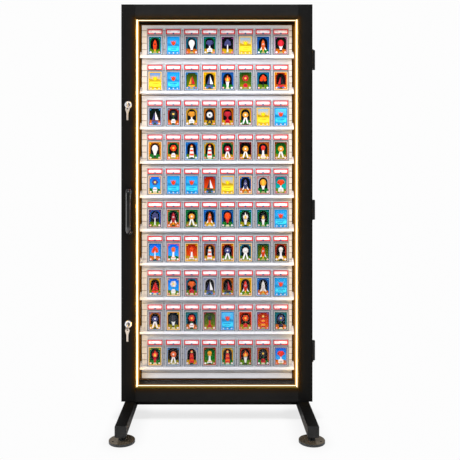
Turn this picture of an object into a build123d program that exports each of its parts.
"""Floor-standing lockable display case for graded trading cards.

Millimetres. The front faces -Y, +X is to the right seen from the front and +Z is up.
The origin is on the floor, at the centre of the case's footprint.

Two side tubes on levelling feet carry a shallow box of two posts and two beams. The box
holds a slatted panel with ten shelves of card slabs, and a band of light bars round its
mouth. A glazed door hangs on three hinges on the right and closes with two cam locks.
"""
import os
from math import cos, radians, sin

from build123d import *

os.makedirs("parts", exist_ok=True)

# ---------------------------------------------------------------- driving dimensions
# Whole case
case_width = 909
case_top = 1976
case_depth = 150            # door and body together
door_thickness = 28
seal_gap = 2                # between the door's back and the body's front
sheet = 2                   # wall of every folded or drawn steel section

# Base
tube = 50
tube_corner = 4
side_tube_x = 414
base_length = 712
end_cap_thickness = 3
end_cap_plug = 12
end_cap_edge = 1            # bevel round the cap's face
end_cap_clearance = 0.2     # between the cap's plug and the tube, each side
cross_tube_depth = 50
cross_tube_height = 30

# Levelling feet
foot_height = 36            # floor to the underside of the side tubes
foot_inset = 45             # from the end of the base to the foot's axis
flange_radius = 57
flange_thickness = 10
flange_round = 1.5
flange_hole_radius = 4.5
flange_hole_circle = 84     # pitch circle diameter
flange_hole_count = 3
collar_radius = 15
collar_height = 5
stem_radius = 8
stem_top = 64
stem_bevel = 1
nut_across_flats = 24
nut_height = 13
insert_radius = 12
insert_flange_radius = 18
insert_top = 66
thread_clearance = 0.05

# Body
post_width = 66.5
beam_height = 58
back_sheet_margin = 3       # the back sheet is this much smaller all round
back_sheet_corner = 6
back_screw_pitch_z = 260
back_screw_inset = 20
back_screw_x = 250
seal_inset = 2              # from the body's mouth to the seal
seal_width = 12
seal_slack = 0.3            # the shut door stands this far off the seal

# Slatted panel and the rails behind it
panel_width = 742
panel_bottom = 161
panel_top = 1907
panel_front = 45            # y of the panel's face
panel_thickness = 12
groove_width = 3
groove_depth = 3
groove_pitch = 31.13
upper_groove_start = 1787.4  # lowest groove of the run above the top shelf
lower_groove_start = 1746.3  # highest groove of the long run, behind the top shelf
end_land = 8                # the least that is left plain at the panel's ends
rail_x = 300
rail_width = 40
rail_wall = 1.5
rail_setback = 12           # inside the panel's top and bottom edges

# Shelves
shelf_bottoms = (           # lip's lower edge, top shelf first; the shelves are spaced by hand
    1739.5, 1565, 1389, 1221.5, 1053.5,
    889, 722, 553, 385, 211,
)
shelf_length = 754
shelf_front = 15            # y of the lip's face
shelf_sheet = 5
shelf_rise = 7              # from the lip's lower edge to the floor's underside
lip_height = 13
lip_thickness = 4
lip_round = 1.2
back_flange_height = 26
back_flange_thickness = 4
rib_y = 28.5
rib_width = 3
rib_height = 4
gusset_thickness = 4
gusset_height = 35
gusset_setback = 1.5        # inside the lip's outline
shelf_screw_x = 340
shelf_screw_rise = 4.2      # above the shelf's floor
shelf_screw_thread = 8
shelf_screw_tip_room = 1

# Card slabs
slab_centres = (-304.5, -214, -124, -35.5, 52.5, 140.5, 227.5, 314.5)  # stood in place by hand
slab_width = 82
slab_height = 136.5
slab_thickness = 7
slab_corner = 3
slab_lean = 2.5             # degrees, backwards
slab_back = 27.4            # y of the slab's rear bottom edge

# Light bars round the mouth of the body
bar_width = 12
bar_depth = 15
diffuser_wall = 2
channel_wall = 1.2
channel_lip = 1.5           # from the diffuser's inner skin to the channel's edge
strip_width = 8
strip_thickness = 1
bar_gap = 0.2

# Driver, inlet and leads behind the panel
driver_x = -345
driver_bottom = 320
driver_length = 170
driver_width = 40
driver_depth = 13
driver_corner = 4
driver_round = 1.5
inlet_z = 220
inlet_radius = 6
inlet_length = 16
inlet_flange_radius = 9
inlet_flange_thickness = 2.5
socket_radius = 3
socket_pin_radius = 1
socket_depth = 10
lead_radius = 2
lead_bend = 12

# Door frame
opening_width = 773.8
opening_bottom = 152.5
opening_top = 1906.4
door_bottom = 88.5
rebate = 12
front_lip = 11              # thickness of the frame in front of the glazing rebate
glass_thickness = 5
glass_cover = 10            # how far the glass runs behind the frame
gasket_thickness = 2
gasket_setback = 2
bead_width = 6
bead_end_gap = 0.2
glass_corner = 2
glass_bevel = 0.5
outer_round = 2.5
seam_round = 0.8            # along the joints between stiles and rails and round the opening

# Handle
handle_x = -415.7           # 5 mm nearer the glass than the locks
handle_z = 995
handle_bar_radius = 12.5
handle_centres = 197
handle_standoff = 42        # door face to the bar's centre line
handle_bend = 24
rose_radius = 16
rose_thickness = 4
handle_screw_radius = 3
handle_screw_head_radius = 5.5
handle_screw_head = 4
handle_thread_depth = 12
handle_thread_room = 1

# Hinges
hinge_heights = (324, 998, 1716)
hinge_length = 92
hinge_offset = 9            # from the side of the case to the pin
knuckle_radius = 7.5
pin_radius = 3
pin_head = 3
pin_head_radius = 6
pin_head_round = 1
pin_clearance = 0.05
leaf_thickness = 3
leaf_width = 26
knuckle_gap = 0.3
leaf_clearance = 1
leaf_screw_spacing = 60
screw_radius = 2
screw_head_radius = 3.6
screw_head = 2
screw_length = 10
screw_clearance = 0.1

# Cam locks
lock_heights = (1498, 456.6)
bezel_radius = 16.5
bezel_thickness = 4.5
bezel_round = 1.5
barrel_radius = 11
barrel_end = -41
plug_radius = 7
plug_head_radius = 9
plug_head = 2
plug_clearance = 0.05
keyway_width = 2.2
keyway_height = 8.6
keyway_end = -50
ring_nut_radius = 14
ring_nut_thickness = 3
cam_front = -40.6
cam_thickness = 2.5
cam_reach = 29
cam_width = 16
cam_corner = 3
shank = 8
shank_clearance = 0.05
rivet_radius = 5.5
rivet_thickness = 1.5
slot_width = 30
slot_height = 54
slot_drop = 9               # the slot's centre lies this far below the lock
slot_corner = 6
strike_width = 56
strike_height = 86

# Keys
key_thickness = 2
bow_length = 31
bow_radius = 10
bow_neck_radius = 5
bow_hole_radius = 4.2
bow_hole_from_end = 6.5
blade_length = 30
blade_width = 8.4
blade_corner = 2
blade_root = 2              # of the blade's length, inside the bow
blade_bite = 2.2
blade_bites = (8, 13, 18, 23)   # from the shoulder
key_front_gap = 1
ring_radius = 8
ring_wire = 0.9
ring_drop = 2               # the ring's wire below the centre of the hole it hangs in

# ---------------------------------------------------------------- derived places
base_top = foot_height + tube
foot_y = base_length / 2 - foot_inset
case_half = case_width / 2
door_front = -case_depth / 2
door_back = door_front + door_thickness
body_front = door_back + seal_gap
sheet_back = case_depth / 2
body_back = sheet_back - sheet
body_depth = body_back - body_front
body_middle = (body_front + body_back) / 2
inner_half = case_half - post_width
floor_top = base_top + beam_height
ceiling = case_top - beam_height
middle_height = (floor_top + ceiling) / 2
panel_back = panel_front + panel_thickness
opening_half = opening_width / 2
rebate_half = opening_half + rebate
rebate_bottom = opening_bottom - rebate
rebate_top = opening_top + rebate
rebate_front = door_front + front_lip
glass_front = rebate_front + gasket_thickness
glass_back = glass_front + glass_thickness
lock_x = -(case_half + opening_half) / 2
hinge_x = case_half + hinge_offset
hinge_y = (door_back + body_front) / 2
foot_positions = {
    "front_left": (-side_tube_x, -foot_y),
    "front_right": (side_tube_x, -foot_y),
    "rear_left": (-side_tube_x, foot_y),
    "rear_right": (side_tube_x, foot_y),
}
back_screw_heights = [
    middle_height + back_screw_pitch_z * i for i in range(-3, 4)
]
back_screw_columns = (-back_screw_x, 0, back_screw_x)
leaf_screw_offsets = (-leaf_screw_spacing / 2, leaf_screw_spacing / 2)
case_leaf_screw_y = body_front + 18
door_leaf_screw_y = door_front + 12


# ---------------------------------------------------------------- helpers
def at_y(y):
    """A vertical plane at y: sketch x is X, sketch y is Z, and extrude runs towards -Y."""
    return Plane.XZ.offset(-y)


def at_x(x):
    """A vertical plane at x: sketch x is Y, sketch y is Z, and extrude runs towards +X."""
    return Plane.YZ.offset(x)


def at_z(z):
    """A level plane at z."""
    return Plane.XY.offset(z)


def save(piece, name):
    """Label the finished piece and write it."""
    piece.part.label = name
    export_step(piece.part, f"parts/{name}.step")


# ---------------------------------------------------------------- base
def base_side_tube(x):
    """Square tube from front to back, with holes underneath for the foot inserts."""
    with BuildPart() as side:
        with BuildSketch(at_y(base_length / 2 - end_cap_thickness)):
            with Locations((x, foot_height + tube / 2)):
                RectangleRounded(tube, tube, tube_corner)
                RectangleRounded(tube - 2 * sheet, tube - 2 * sheet, tube_corner - sheet, mode=Mode.SUBTRACT)
        extrude(amount=base_length - 2 * end_cap_thickness)
        with BuildSketch(at_z(foot_height)):
            with Locations((x, -foot_y), (x, foot_y)):
                Circle(insert_radius + thread_clearance)
        extrude(amount=sheet, mode=Mode.SUBTRACT)
    return side


save(base_side_tube(-side_tube_x), "base_tube_left")
save(base_side_tube(side_tube_x), "base_tube_right")

with BuildPart() as base_cross_tube:
    cross_half = side_tube_x - tube / 2
    with BuildSketch(at_x(-cross_half)):
        with Locations((0, base_top - cross_tube_height / 2)):
            Rectangle(cross_tube_depth, cross_tube_height)
            Rectangle(cross_tube_depth - 2 * sheet, cross_tube_height - 2 * sheet, mode=Mode.SUBTRACT)
    extrude(amount=2 * cross_half)
save(base_cross_tube, "base_cross_tube")

with BuildPart() as tube_end_caps:
    tube_end = -base_length / 2 + end_cap_thickness
    with BuildSketch(at_y(tube_end)):
        with Locations((-side_tube_x, foot_height + tube / 2), (side_tube_x, foot_height + tube / 2)):
            RectangleRounded(tube, tube, tube_corner)
    extrude(amount=end_cap_thickness)
    chamfer(tube_end_caps.faces().filter_by(Axis.Y).sort_by(Axis.Y)[:2].edges(), length=end_cap_edge)
    plug_side = tube - 2 * sheet - 2 * end_cap_clearance
    with BuildSketch(at_y(tube_end + end_cap_plug)):
        with Locations((-side_tube_x, foot_height + tube / 2), (side_tube_x, foot_height + tube / 2)):
            RectangleRounded(plug_side, plug_side, tube_corner - sheet)
    extrude(amount=end_cap_plug)
    mirror(about=Plane.XZ)
save(tube_end_caps, "tube_end_caps")

with BuildPart() as tube_inserts:
    with BuildSketch(at_z(foot_height)):
        with GridLocations(2 * side_tube_x, 2 * foot_y, 2, 2):
            Circle(insert_radius)
            Circle(stem_radius + thread_clearance, mode=Mode.SUBTRACT)
    extrude(amount=insert_top - foot_height)
    with BuildSketch(at_z(foot_height + sheet)):
        with GridLocations(2 * side_tube_x, 2 * foot_y, 2, 2):
            Circle(insert_flange_radius)
            Circle(insert_radius, mode=Mode.SUBTRACT)
    extrude(amount=sheet)
save(tube_inserts, "tube_inserts")

with BuildPart() as foot_lock_nuts:
    with BuildSketch(at_z(foot_height - nut_height)):
        with GridLocations(2 * side_tube_x, 2 * foot_y, 2, 2):
            RegularPolygon(nut_across_flats / 2, 6, major_radius=False)
            Circle(stem_radius + thread_clearance, mode=Mode.SUBTRACT)
    extrude(amount=nut_height)
save(foot_lock_nuts, "foot_lock_nuts")


def levelling_foot(x, y):
    """Bolt-down flange, collar and threaded stem, turned as one piece."""
    with BuildPart() as foot:
        with BuildSketch(at_z(0)):
            with Locations((x, y)):
                Circle(flange_radius)
        extrude(amount=flange_thickness)
        fillet(foot.edges().group_by(Axis.Z)[-1], radius=flange_round)
        with BuildSketch(at_z(flange_thickness)):
            with Locations((x, y)):
                Circle(collar_radius)
        extrude(amount=collar_height)
        with BuildSketch(at_z(flange_thickness + collar_height)):
            with Locations((x, y)):
                Circle(stem_radius)
        extrude(amount=stem_top - flange_thickness - collar_height)
        chamfer(foot.edges().group_by(Axis.Z)[-1], length=stem_bevel)
        with BuildSketch(at_z(0)):
            with Locations((x, y)):
                with PolarLocations(flange_hole_circle / 2, flange_hole_count, start_angle=90):
                    Circle(flange_hole_radius)
        extrude(amount=flange_thickness, mode=Mode.SUBTRACT)
    return foot


for foot_name, (foot_x, foot_centre_y) in foot_positions.items():
    save(levelling_foot(foot_x, foot_centre_y), f"levelling_foot_{foot_name}")


# ---------------------------------------------------------------- body
def post(side):
    """Folded box closed at the top; the left one has a slot for each lock."""
    with BuildPart() as box:
        with BuildSketch(at_z(base_top)):
            with Locations((side * (inner_half + post_width / 2), body_middle)):
                Rectangle(post_width, body_depth)
        extrude(amount=case_top - base_top)
        outer_edges = box.edges().filter_by(Axis.Z).group_by(Axis.X)[0 if side < 0 else -1]
        fillet(outer_edges, radius=outer_round)
        with BuildSketch(at_z(base_top)):
            with Locations((side * (inner_half + post_width / 2), body_middle)):
                Rectangle(post_width - 2 * sheet, body_depth - 2 * sheet)
        extrude(amount=case_top - base_top - sheet, mode=Mode.SUBTRACT)
        with BuildSketch(at_y(body_back)):
            with Locations(*[(side * (case_half - back_screw_inset), z) for z in back_screw_heights]):
                Circle(screw_radius + screw_clearance)
        extrude(amount=sheet, mode=Mode.SUBTRACT)
        if side < 0:
            with BuildSketch(at_y(body_front + sheet)):
                with Locations(*[(lock_x, z - slot_drop) for z in lock_heights]):
                    RectangleRounded(slot_width, slot_height, slot_corner)
            extrude(amount=sheet, mode=Mode.SUBTRACT)
        else:
            with BuildSketch(at_x(case_half - sheet)):
                with Locations(*[
                    (case_leaf_screw_y, z + dz) for z in hinge_heights for dz in leaf_screw_offsets
                ]):
                    Circle(screw_radius + screw_clearance)
            extrude(amount=sheet, mode=Mode.SUBTRACT)
    return box


save(post(-1), "post_left")
save(post(1), "post_right")


def beam(bottom):
    """Box section between the posts, with holes behind for the back sheet's screws."""
    with BuildPart() as section:
        with BuildSketch(at_x(-inner_half)):
            with Locations((body_middle, bottom + beam_height / 2)):
                Rectangle(body_depth, beam_height)
                Rectangle(body_depth - 2 * sheet, beam_height - 2 * sheet, mode=Mode.SUBTRACT)
        extrude(amount=2 * inner_half)
        with BuildSketch(at_y(body_back)):
            with Locations(*[(x, bottom + beam_height / 2) for x in back_screw_columns]):
                Circle(screw_radius + screw_clearance)
        extrude(amount=sheet, mode=Mode.SUBTRACT)
    return section


save(beam(base_top), "bottom_beam")
save(beam(ceiling), "top_beam")

back_screw_points = [
    (side * (case_half - back_screw_inset), z) for side in (-1, 1) for z in back_screw_heights
] + [(x, z) for x in back_screw_columns for z in (base_top + beam_height / 2, ceiling + beam_height / 2)]

with BuildPart() as back_sheet:
    back_width = case_width - 2 * back_sheet_margin
    back_height = case_top - base_top - 2 * back_sheet_margin
    with BuildSketch(at_y(sheet_back)):
        with Locations((0, (base_top + case_top) / 2)):
            RectangleRounded(back_width, back_height, back_sheet_corner)
        with Locations(*back_screw_points):
            Circle(screw_radius + screw_clearance, mode=Mode.SUBTRACT)
        with Locations((driver_x, inlet_z)):
            Circle(inlet_radius + screw_clearance, mode=Mode.SUBTRACT)
    extrude(amount=sheet)
save(back_sheet, "back_sheet")

with BuildPart() as case_screws:
    with BuildSketch(at_y(sheet_back + screw_head)):
        with Locations(*back_screw_points):
            Circle(screw_head_radius)
    extrude(amount=screw_head)
    with BuildSketch(at_y(sheet_back)):
        with Locations(*back_screw_points):
            Circle(screw_radius)
    extrude(amount=screw_length)
    case_leaf_screws = [(case_leaf_screw_y, z + dz) for z in hinge_heights for dz in leaf_screw_offsets]
    with BuildSketch(at_x(case_half + leaf_thickness)):
        with Locations(*case_leaf_screws):
            Circle(screw_head_radius)
    extrude(amount=screw_head)
    with BuildSketch(at_x(case_half + leaf_thickness - screw_length)):
        with Locations(*case_leaf_screws):
            Circle(screw_radius)
    extrude(amount=screw_length)
save(case_screws, "case_screws")

with BuildPart() as door_seal:
    mouth_width = 2 * (inner_half + seal_inset)
    mouth_height = ceiling - floor_top + 2 * seal_inset
    with BuildSketch(at_y(body_front)):
        with Locations((0, middle_height)):
            Rectangle(mouth_width + 2 * seal_width, mouth_height + 2 * seal_width)
            Rectangle(mouth_width, mouth_height, mode=Mode.SUBTRACT)
    extrude(amount=seal_gap - seal_slack)
save(door_seal, "door_seal")

with BuildPart() as lock_strikes:
    with BuildSketch(at_y(body_front + 2 * sheet)):
        with Locations(*[(lock_x, z - slot_drop) for z in lock_heights]):
            Rectangle(strike_width, strike_height)
            RectangleRounded(slot_width, slot_height, slot_corner, mode=Mode.SUBTRACT)
    extrude(amount=sheet)
save(lock_strikes, "lock_strikes")

# ---------------------------------------------------------------- panel, rails and shelves
with BuildPart() as panel_rails:
    with BuildSketch(at_z(panel_bottom + rail_setback)):
        with Locations((-rail_x, (panel_back + body_back) / 2), (rail_x, (panel_back + body_back) / 2)):
            Rectangle(rail_width, body_back - panel_back)
            Rectangle(
                rail_width - 2 * rail_wall, body_back - panel_back - 2 * rail_wall, mode=Mode.SUBTRACT
            )
    extrude(amount=panel_top - panel_bottom - 2 * rail_setback)
save(panel_rails, "panel_rails")

upper_grooves = int((panel_top - end_land - upper_groove_start) / groove_pitch) + 1
lower_grooves = int((lower_groove_start - panel_bottom - end_land) / groove_pitch) + 1
groove_heights = [upper_groove_start + groove_pitch * i for i in range(upper_grooves)]
groove_heights += [lower_groove_start - groove_pitch * i for i in range(lower_grooves)]
shelf_screw_columns = (-shelf_screw_x, 0, shelf_screw_x)
shelf_floor = shelf_rise + shelf_sheet
shelf_screw_height = shelf_floor + shelf_screw_rise
shelf_screw_points = [
    (x, bottom + shelf_screw_height)
    for bottom in shelf_bottoms
    for x in shelf_screw_columns
]

with BuildPart() as slat_panel:
    with BuildSketch(at_x(-panel_width / 2)):
        with Locations(((panel_front + panel_back) / 2, (panel_bottom + panel_top) / 2)):
            Rectangle(panel_thickness, panel_top - panel_bottom)
        with Locations(*[(panel_front + groove_depth / 2, z) for z in groove_heights]):
            Rectangle(groove_depth, groove_width, mode=Mode.SUBTRACT)
    extrude(amount=panel_width)
    with BuildSketch(at_y(panel_front + shelf_screw_thread)):
        with Locations(*shelf_screw_points):
            Circle(screw_radius + screw_clearance)
    extrude(amount=shelf_screw_thread, mode=Mode.SUBTRACT)
save(slat_panel, "slat_panel")


def shelf(bottom):
    """Moulded tray: floor, front apron, low rib behind the slabs, back flange and end gussets."""
    half = shelf_length / 2
    top = bottom + shelf_floor
    underside = bottom + shelf_rise
    with BuildPart() as tray:
        with BuildSketch(at_x(-half)):
            with BuildLine():
                Polyline(
                    (shelf_front, bottom),
                    (shelf_front + lip_thickness, bottom),
                    (shelf_front + lip_thickness, underside),
                    (panel_front, underside),
                    (panel_front, bottom + back_flange_height),
                    (panel_front - back_flange_thickness, bottom + back_flange_height),
                    (panel_front - back_flange_thickness, top),
                    (rib_y + rib_width, top),
                    (rib_y + rib_width, top + rib_height),
                    (rib_y, top + rib_height),
                    (rib_y, top),
                    (shelf_front + lip_thickness, top),
                    (shelf_front + lip_thickness, bottom + lip_height),
                    (shelf_front, bottom + lip_height),
                    close=True,
                )
            make_face()
        extrude(amount=2 * half)
        fillet(tray.edges().filter_by(Axis.X).group_by(Axis.Y)[0], radius=lip_round)
        for gusset_x in (-half, half - gusset_thickness):
            with BuildSketch(at_x(gusset_x)):
                with BuildLine():
                    Polyline(
                        (shelf_front + gusset_setback, bottom + gusset_setback),
                        (panel_front, bottom),
                        (panel_front, bottom + gusset_height),
                        (panel_front - back_flange_thickness, bottom + gusset_height),
                        (shelf_front + gusset_setback, bottom + lip_height - gusset_setback),
                        close=True,
                    )
                make_face()
            extrude(amount=gusset_thickness)
        with BuildSketch(at_y(panel_front)):
            with Locations(*[(x, bottom + shelf_screw_height) for x in shelf_screw_columns]):
                Circle(screw_radius + screw_clearance)
        extrude(amount=back_flange_thickness, mode=Mode.SUBTRACT)
    return tray


for number, shelf_bottom in enumerate(shelf_bottoms, start=1):
    save(shelf(shelf_bottom), f"shelf_{number:02d}")

with BuildPart() as shelf_screws:
    with BuildSketch(at_y(panel_front - back_flange_thickness)):
        with Locations(*shelf_screw_points):
            Circle(screw_head_radius)
    extrude(amount=screw_head)
    shelf_screw_tip = panel_front + shelf_screw_thread - shelf_screw_tip_room
    with BuildSketch(at_y(shelf_screw_tip)):
        with Locations(*shelf_screw_points):
            Circle(screw_radius)
    extrude(amount=shelf_screw_tip - panel_front + back_flange_thickness)
save(shelf_screws, "shelf_screws")

with BuildPart() as card_slabs:
    lean = radians(slab_lean)
    for shelf_bottom in shelf_bottoms:
        leaning_plane = Plane(
            origin=(0, slab_back, shelf_bottom + shelf_floor),
            x_dir=(1, 0, 0),
            z_dir=(0, -cos(lean), sin(lean)),
        )
        with BuildSketch(leaning_plane):
            with Locations(*[(x, slab_height / 2) for x in slab_centres]):
                RectangleRounded(slab_width, slab_height, slab_corner)
        extrude(amount=slab_thickness)
save(card_slabs, "card_slabs")


# ---------------------------------------------------------------- light bars
def bar_section(kind):
    """One light bar's section as rectangles (u, v, width, depth): the first solid, the next cut out.

    u is the distance from the wall that the bar lies on and v the distance behind the body's front.
    """
    inner_u = bar_width - diffuser_wall
    mouth_v = diffuser_wall
    pocket_v = bar_depth - 2 * diffuser_wall
    if kind == "diffuser":
        return [(0, 0, bar_width, bar_depth), (0, mouth_v, inner_u, pocket_v)]
    if kind == "channel":
        reach = inner_u - channel_lip
        return [
            (0, mouth_v, reach, pocket_v),
            (channel_wall, mouth_v + channel_wall, reach, pocket_v - 2 * channel_wall),
        ]
    return [(channel_wall, bar_depth / 2 - strip_width / 2, strip_thickness, strip_width)]


def light_bars(kind):
    """Two upright bars and two level ones between them."""
    with BuildPart() as bars:
        rectangles = bar_section(kind)
        with BuildSketch(at_z(floor_top)):
            for index, (u, v, du, dv) in enumerate(rectangles):
                with Locations((-inner_half + u + du / 2, body_front + v + dv / 2)):
                    Rectangle(du, dv, mode=Mode.ADD if index == 0 else Mode.SUBTRACT)
        extrude(amount=ceiling - floor_top)
        mirror(about=Plane.YZ)
        level_half = inner_half - bar_width - bar_gap
        with BuildSketch(at_x(-level_half)):
            for index, (u, v, du, dv) in enumerate(rectangles):
                with Locations((body_front + v + dv / 2, floor_top + u + du / 2)):
                    Rectangle(dv, du, mode=Mode.ADD if index == 0 else Mode.SUBTRACT)
        extrude(amount=2 * level_half)
        with BuildSketch(at_x(-level_half)):
            for index, (u, v, du, dv) in enumerate(rectangles):
                with Locations((body_front + v + dv / 2, ceiling - u - du / 2)):
                    Rectangle(dv, du, mode=Mode.ADD if index == 0 else Mode.SUBTRACT)
        extrude(amount=2 * level_half)
    return bars


save(light_bars("channel"), "led_channels")
save(light_bars("strip"), "led_strips")
save(light_bars("diffuser"), "led_diffusers")

# ---------------------------------------------------------------- driver, inlet and leads
with BuildPart() as led_driver:
    with BuildSketch(at_y(body_back)):
        with Locations((driver_x, driver_bottom + driver_length / 2)):
            RectangleRounded(driver_width, driver_length, driver_corner)
    extrude(amount=driver_depth)
    fillet(led_driver.faces().sort_by(Axis.Y)[0].edges(), radius=driver_round)
save(led_driver, "led_driver")

with BuildPart() as power_inlet:
    inlet_mouth = sheet_back + inlet_flange_thickness
    with BuildSketch(at_y(inlet_mouth)):
        with Locations((driver_x, inlet_z)):
            Circle(inlet_flange_radius)
    extrude(amount=inlet_flange_thickness)
    with BuildSketch(at_y(sheet_back)):
        with Locations((driver_x, inlet_z)):
            Circle(inlet_radius)
    extrude(amount=inlet_length)
    with BuildSketch(at_y(inlet_mouth)):
        with Locations((driver_x, inlet_z)):
            Circle(socket_radius)
            Circle(socket_pin_radius, mode=Mode.SUBTRACT)
    extrude(amount=socket_depth, mode=Mode.SUBTRACT)
save(power_inlet, "power_inlet")

lead_y = body_back - driver_depth / 2
gap_x = -(inner_half + panel_width / 2) / 2
driver_top = driver_bottom + driver_length
# From the driver up behind the panel, round the panel's edge and forward to the left light bar
lead_points = [
    (driver_x, lead_y, driver_top),
    (driver_x, lead_y, driver_top + 30),
    (gap_x, lead_y - 4, driver_top + 56),
    (gap_x, panel_front - 10, driver_top + 70),
    (gap_x, panel_front - 50, driver_top + 76),
    (gap_x, body_front + bar_depth, driver_top + 74),
]
with BuildPart() as led_leads:
    with BuildSketch(at_z(inlet_z + inlet_radius)):
        with Locations((driver_x, lead_y)):
            Circle(lead_radius)
    extrude(amount=driver_bottom - inlet_z - inlet_radius)
    with BuildLine() as lead_path:
        FilletPolyline(*lead_points, radius=lead_bend)
    with BuildSketch(Plane(origin=lead_points[0], z_dir=(0, 0, 1))):
        Circle(lead_radius)
    sweep(path=lead_path.line)
save(led_leads, "led_leads")


# ---------------------------------------------------------------- door frame and glass
def stile(side):
    """Closed hollow section with a glazing rebate cut along its inner back corner."""
    middle_x = side * (case_half + opening_half) / 2
    width = case_half - opening_half
    chamber_width = width - rebate - 2 * sheet
    chamber_x = side * (case_half - sheet - chamber_width / 2)
    with BuildPart() as section:
        with BuildSketch(at_z(door_bottom)):
            with Locations((middle_x, (door_front + door_back) / 2)):
                Rectangle(width, door_thickness)
        extrude(amount=case_top - door_bottom)
        front_edges = section.edges().filter_by(Axis.Z).group_by(Axis.Y)[0].sort_by(Axis.X)
        outer_edge = front_edges[0 if side < 0 else -1]
        inner_edge = front_edges[-1 if side < 0 else 0]
        fillet(outer_edge, radius=outer_round)
        fillet(inner_edge, radius=seam_round)
        with BuildSketch(at_z(door_bottom + sheet)):
            with Locations((chamber_x, (door_front + door_back) / 2)):
                Rectangle(chamber_width, door_thickness - 2 * sheet)
        extrude(amount=case_top - door_bottom - 2 * sheet, mode=Mode.SUBTRACT)
        with BuildSketch(at_z(rebate_bottom)):
            with Locations((side * (opening_half + rebate / 2), (rebate_front + door_back) / 2)):
                Rectangle(rebate, door_back - rebate_front)
        extrude(amount=rebate_top - rebate_bottom, mode=Mode.SUBTRACT)
        if side < 0:
            with BuildSketch(at_y(door_back)):
                with Locations(*[(lock_x, z) for z in lock_heights]):
                    Circle(barrel_radius + plug_clearance)
                with Locations((handle_x, handle_z)):
                    with GridLocations(0, handle_centres, 1, 2):
                        Circle(handle_screw_radius + screw_clearance)
            extrude(amount=door_thickness, mode=Mode.SUBTRACT)
            with BuildSketch(at_y(door_back)):
                with Locations((handle_x, handle_z)):
                    with GridLocations(0, handle_centres, 1, 2):
                        Circle(handle_screw_head_radius + screw_clearance)
            extrude(amount=sheet, mode=Mode.SUBTRACT)
        else:
            with BuildSketch(at_x(case_half - sheet)):
                with Locations(*[
                    (door_leaf_screw_y, z + dz) for z in hinge_heights for dz in leaf_screw_offsets
                ]):
                    Circle(screw_radius + screw_clearance)
            extrude(amount=sheet, mode=Mode.SUBTRACT)
    return section


save(stile(-1), "stile_left")
save(stile(1), "stile_right")


def door_rail(low, high, rebate_low, rebate_high, chamber_low, chamber_high):
    """Level hollow section between the stiles, open at its ends against them."""
    with BuildPart() as section:
        with BuildSketch(at_x(-opening_half)):
            with Locations(((door_front + door_back) / 2, (low + high) / 2)):
                Rectangle(door_thickness, high - low)
            with Locations(((rebate_front + door_back) / 2, (rebate_low + rebate_high) / 2)):
                Rectangle(door_back - rebate_front, rebate_high - rebate_low, mode=Mode.SUBTRACT)
            with Locations(((door_front + door_back) / 2, (chamber_low + chamber_high) / 2)):
                Rectangle(door_thickness - 2 * sheet, chamber_high - chamber_low, mode=Mode.SUBTRACT)
        extrude(amount=opening_width)
        fillet(section.faces().sort_by(Axis.Y)[0].edges(), radius=seam_round)
    return section


save(
    door_rail(
        door_bottom, opening_bottom, rebate_bottom, opening_bottom,
        door_bottom + sheet, rebate_bottom - sheet,
    ),
    "rail_bottom",
)
save(
    door_rail(
        opening_top, case_top, opening_top, rebate_top,
        rebate_top + sheet, case_top - sheet,
    ),
    "rail_top",
)

glass_width = opening_width + 2 * glass_cover
glass_height = opening_top - opening_bottom + 2 * glass_cover
opening_middle = (opening_bottom + opening_top) / 2

with BuildPart() as door_glass:
    with BuildSketch(at_y(glass_back)):
        with Locations((0, opening_middle)):
            RectangleRounded(glass_width, glass_height, glass_corner)
    extrude(amount=glass_thickness)
    chamfer(door_glass.faces().filter_by(Axis.Y).edges(), length=glass_bevel)
save(door_glass, "door_glass")

with BuildPart() as glazing_gasket:
    gasket_width = opening_width + 2 * gasket_setback
    gasket_height = opening_top - opening_bottom + 2 * gasket_setback
    with BuildSketch(at_y(glass_front)):
        with Locations((0, opening_middle)):
            Rectangle(glass_width, glass_height)
            Rectangle(gasket_width, gasket_height, mode=Mode.SUBTRACT)
    extrude(amount=gasket_thickness)
save(glazing_gasket, "glazing_gasket")

with BuildPart() as glazing_beads:
    bead_depth = door_back - glass_back
    bead_y = (door_back + glass_back) / 2
    with BuildSketch(at_z(rebate_bottom)):
        for side in (-1, 1):
            with Locations((side * (rebate_half - bead_width / 2), bead_y)):
                Rectangle(bead_width, bead_depth)
    extrude(amount=rebate_top - rebate_bottom)
    bead_half = rebate_half - bead_width - bead_end_gap
    with BuildSketch(at_x(-bead_half)):
        for bead_z in (rebate_bottom + bead_width / 2, rebate_top - bead_width / 2):
            with Locations((bead_y, bead_z)):
                Rectangle(bead_depth, bead_width)
    extrude(amount=2 * bead_half)
save(glazing_beads, "glazing_beads")

# ---------------------------------------------------------------- handle
with BuildPart() as door_handle:
    handle_top = handle_z + handle_centres / 2
    handle_bottom = handle_z - handle_centres / 2
    bar_y = door_front - handle_standoff
    with BuildLine() as bar_path:
        FilletPolyline(
            (handle_x, door_front, handle_top),
            (handle_x, bar_y, handle_top),
            (handle_x, bar_y, handle_bottom),
            (handle_x, door_front, handle_bottom),
            radius=handle_bend,
        )
    with BuildSketch(Plane(origin=(handle_x, door_front, handle_top), x_dir=(1, 0, 0), z_dir=(0, -1, 0))):
        Circle(handle_bar_radius)
    sweep(path=bar_path.line)
    with BuildSketch(at_y(door_front)):
        with Locations((handle_x, handle_z)):
            with GridLocations(0, handle_centres, 1, 2):
                Circle(rose_radius)
    extrude(amount=rose_thickness)
    with BuildSketch(at_y(door_front)):
        with Locations((handle_x, handle_z)):
            with GridLocations(0, handle_centres, 1, 2):
                Circle(handle_screw_radius + thread_clearance)
    extrude(amount=handle_thread_depth + handle_thread_room, mode=Mode.SUBTRACT)
save(door_handle, "door_handle")

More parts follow.
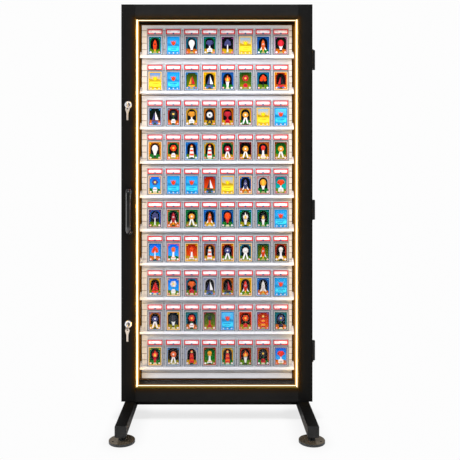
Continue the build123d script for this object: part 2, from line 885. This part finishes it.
with BuildPart() as door_screws:
    with BuildSketch(at_y(door_back)):
        with Locations((handle_x, handle_z)):
            with GridLocations(0, handle_centres, 1, 2):
                Circle(handle_screw_head_radius)
    extrude(amount=handle_screw_head)
    with BuildSketch(at_y(door_back - handle_screw_head)):
        with Locations((handle_x, handle_z)):
            with GridLocations(0, handle_centres, 1, 2):
                Circle(handle_screw_radius)
    extrude(amount=door_thickness - handle_screw_head + handle_thread_depth)
    door_leaf_screws = [(door_leaf_screw_y, z + dz) for z in hinge_heights for dz in leaf_screw_offsets]
    with BuildSketch(at_x(case_half + leaf_thickness)):
        with Locations(*door_leaf_screws):
            Circle(screw_head_radius)
    extrude(amount=screw_head)
    with BuildSketch(at_x(case_half + leaf_thickness - screw_length)):
        with Locations(*door_leaf_screws):
            Circle(screw_radius)
    extrude(amount=screw_length)
save(door_screws, "door_screws")

# ---------------------------------------------------------------- hinges
knuckle_length = (hinge_length - 2 * knuckle_gap) / 3
knuckle_step = knuckle_length + knuckle_gap
leaf_reach = knuckle_radius + leaf_clearance


def hinge_leaves(direction, knuckle_steps, screw_y):
    """Flat leaf on the case's side, with its knuckles round the pin.

    direction is +1 for the leaf behind the pin and -1 for the one in front of it.
    """
    with BuildPart() as leaves:
        with BuildSketch(at_x(case_half)):
            for z in hinge_heights:
                with Locations((hinge_y + direction * (leaf_reach + leaf_width / 2), z)):
                    Rectangle(leaf_width, hinge_length)
                for step in knuckle_steps:
                    with Locations((hinge_y + direction * leaf_reach / 2, z + step * knuckle_step)):
                        Rectangle(leaf_reach, knuckle_length)
        extrude(amount=leaf_thickness)
        for z in hinge_heights:
            for step in knuckle_steps:
                with BuildSketch(at_z(z + step * knuckle_step - knuckle_length / 2)):
                    with Locations((hinge_x, hinge_y)):
                        Circle(knuckle_radius)
                extrude(amount=knuckle_length)
                with BuildSketch(at_z(z + step * knuckle_step - knuckle_length / 2)):
                    with Locations((case_half + hinge_offset / 2, hinge_y + direction * leaf_thickness / 2)):
                        Rectangle(hinge_offset, leaf_thickness)
                extrude(amount=knuckle_length)
        with BuildSketch(at_z(hinge_heights[0] - hinge_length)):
            with Locations((hinge_x, hinge_y)):
                Circle(pin_radius + pin_clearance)
        extrude(amount=hinge_heights[-1] - hinge_heights[0] + 2 * hinge_length, mode=Mode.SUBTRACT)
        with BuildSketch(at_x(case_half)):
            with Locations(*[(screw_y, z + dz) for z in hinge_heights for dz in leaf_screw_offsets]):
                Circle(screw_radius + screw_clearance)
        extrude(amount=leaf_thickness, mode=Mode.SUBTRACT)
    return leaves


save(hinge_leaves(1, (-1, 1), case_leaf_screw_y), "hinge_case_leaves")
save(hinge_leaves(-1, (0,), door_leaf_screw_y), "hinge_door_leaves")

with BuildPart() as hinge_pins:
    for hinge_z in hinge_heights:
        with BuildSketch(at_z(hinge_z - hinge_length / 2)):
            with Locations((hinge_x, hinge_y)):
                Circle(pin_radius)
        extrude(amount=hinge_length)
        with BuildSketch(at_z(hinge_z + hinge_length / 2)):
            with Locations((hinge_x, hinge_y)):
                Circle(pin_head_radius)
        extrude(amount=pin_head)
        head_face = hinge_pins.faces().filter_by(GeomType.PLANE).filter_by(Axis.Z).sort_by(Axis.Z)[-1]
        fillet(head_face.edges(), radius=pin_head_round)
save(hinge_pins, "hinge_pins")

# ---------------------------------------------------------------- locks
with BuildPart() as lock_bodies:
    with BuildSketch(at_y(door_front)):
        with Locations(*[(lock_x, z) for z in lock_heights]):
            Circle(bezel_radius)
    extrude(amount=bezel_thickness)
    fillet(lock_bodies.faces().filter_by(Axis.Y).sort_by(Axis.Y)[:2].edges(), radius=bezel_round)
    with BuildSketch(at_y(barrel_end)):
        with Locations(*[(lock_x, z) for z in lock_heights]):
            Circle(barrel_radius)
    extrude(amount=barrel_end - door_front)
    with BuildSketch(at_y(barrel_end)):
        with Locations(*[(lock_x, z) for z in lock_heights]):
            Circle(plug_radius + plug_clearance)
    extrude(amount=barrel_end - door_front + bezel_thickness, mode=Mode.SUBTRACT)
    with BuildSketch(at_y(door_front - bezel_thickness + plug_head)):
        with Locations(*[(lock_x, z) for z in lock_heights]):
            Circle(plug_head_radius + plug_clearance)
    extrude(amount=plug_head, mode=Mode.SUBTRACT)
save(lock_bodies, "lock_bodies")

with BuildPart() as lock_nuts:
    with BuildSketch(at_y(door_back + ring_nut_thickness)):
        with Locations(*[(lock_x, z) for z in lock_heights]):
            Circle(ring_nut_radius)
            Circle(barrel_radius + thread_clearance, mode=Mode.SUBTRACT)
    extrude(amount=ring_nut_thickness)
save(lock_nuts, "lock_nuts")

plug_face = door_front - bezel_thickness
cam_back = cam_front + cam_thickness


def lock_plug(z):
    """Turning core: head, cylinder with its keyway, square shank and riveted end."""
    with BuildPart() as plug:
        with BuildSketch(at_y(plug_face + plug_head)):
            with Locations((lock_x, z)):
                Circle(plug_head_radius)
        extrude(amount=plug_head)
        with BuildSketch(at_y(cam_front)):
            with Locations((lock_x, z)):
                Circle(plug_radius)
        extrude(amount=cam_front - plug_face - plug_head)
        with BuildSketch(at_y(cam_back)):
            with Locations((lock_x, z)):
                Rectangle(shank, shank)
        extrude(amount=cam_thickness)
        with BuildSketch(at_y(cam_back + rivet_thickness)):
            with Locations((lock_x, z)):
                Circle(rivet_radius)
        extrude(amount=rivet_thickness)
        with BuildSketch(at_y(keyway_end)):
            with Locations((lock_x, z)):
                Rectangle(keyway_width, keyway_height)
        extrude(amount=keyway_end - plug_face, mode=Mode.SUBTRACT)
    return plug


def lock_cam(z):
    """Flat cam on the plug's square shank, hanging down when unlocked."""
    with BuildPart() as cam:
        with BuildSketch(at_y(cam_back)):
            with Locations((lock_x, z)):
                Circle(cam_width / 2)
            with Locations((lock_x, z - cam_reach / 2)):
                Rectangle(cam_width, cam_reach)
            with Locations((lock_x, z)):
                Rectangle(shank + 2 * shank_clearance, shank + 2 * shank_clearance, mode=Mode.SUBTRACT)
        extrude(amount=cam_thickness)
        fillet(cam.edges().filter_by(Axis.Y).group_by(Axis.Z)[0], radius=cam_corner)
    return cam


def key_outline(plane, x, y, angle):
    """One key in a sketch on plane, with the free end of its bow at (x, y).

    The key runs from there along the sketch's direction angle.
    """
    along = Vector(cos(radians(angle)), sin(radians(angle)))
    end = Vector(x, y)
    with BuildSketch(plane) as outline:
        with BuildSketch(mode=Mode.ADD):
            with Locations(end + along * bow_radius):
                Circle(bow_radius)
            with Locations(end + along * (bow_length - bow_neck_radius)):
                Circle(bow_neck_radius)
            make_hull()
        with Locations(Location(end + along * (bow_length + (blade_length - blade_root) / 2), (0, 0, angle))):
            RectangleRounded(blade_length + blade_root, blade_width, blade_corner)
        with Locations(end + along * bow_hole_from_end):
            Circle(bow_hole_radius, mode=Mode.SUBTRACT)
        toothed_side = along.rotate(Axis.Z, 90) * blade_width / 2
        for bite in blade_bites:
            bite_point = end + along * (bow_length + bite) + toothed_side
            with Locations(Location(bite_point, (0, 0, angle + 45))):
                Rectangle(blade_bite, blade_bite, mode=Mode.SUBTRACT)
    return outline


key_shoulder = plug_face - key_front_gap
bow_end = key_shoulder - bow_length
hang_y = bow_end + bow_hole_from_end
ring_centre_drop = ring_drop + ring_radius


def inserted_key(z):
    """Key standing in the plug, seen on edge from the front."""
    with BuildPart() as key:
        outline = key_outline(at_x(lock_x - key_thickness / 2), bow_end, z, 0)
        extrude(outline.sketch, amount=key_thickness)
    return key


def spare_key(z):
    """Split ring through the inserted key's bow, with the second key hanging from it."""
    with BuildPart() as spare:
        hole_z = z - 2 * ring_centre_drop
        outline = key_outline(at_y(hang_y + key_thickness / 2), lock_x, hole_z + bow_hole_from_end, -90)
        extrude(outline.sketch, amount=key_thickness)
        ring_centre = Vector(lock_x, hang_y, z - ring_centre_drop)
        sideways = Vector(1, 1, 0).normalized()
        wire_plane = Plane(
            origin=ring_centre + sideways * ring_radius,
            x_dir=sideways,
            z_dir=(0, 0, 1),
        )
        with BuildSketch(wire_plane):
            Circle(ring_wire)
        revolve(axis=Axis(ring_centre, (1, -1, 0)), revolution_arc=360)
    return spare


for lock_name, lock_z in zip(("upper", "lower"), lock_heights):
    save(lock_plug(lock_z), f"lock_plug_{lock_name}")
    save(lock_cam(lock_z), f"lock_cam_{lock_name}")
    save(inserted_key(lock_z), f"key_{lock_name}")
    save(spare_key(lock_z), f"spare_key_{lock_name}")
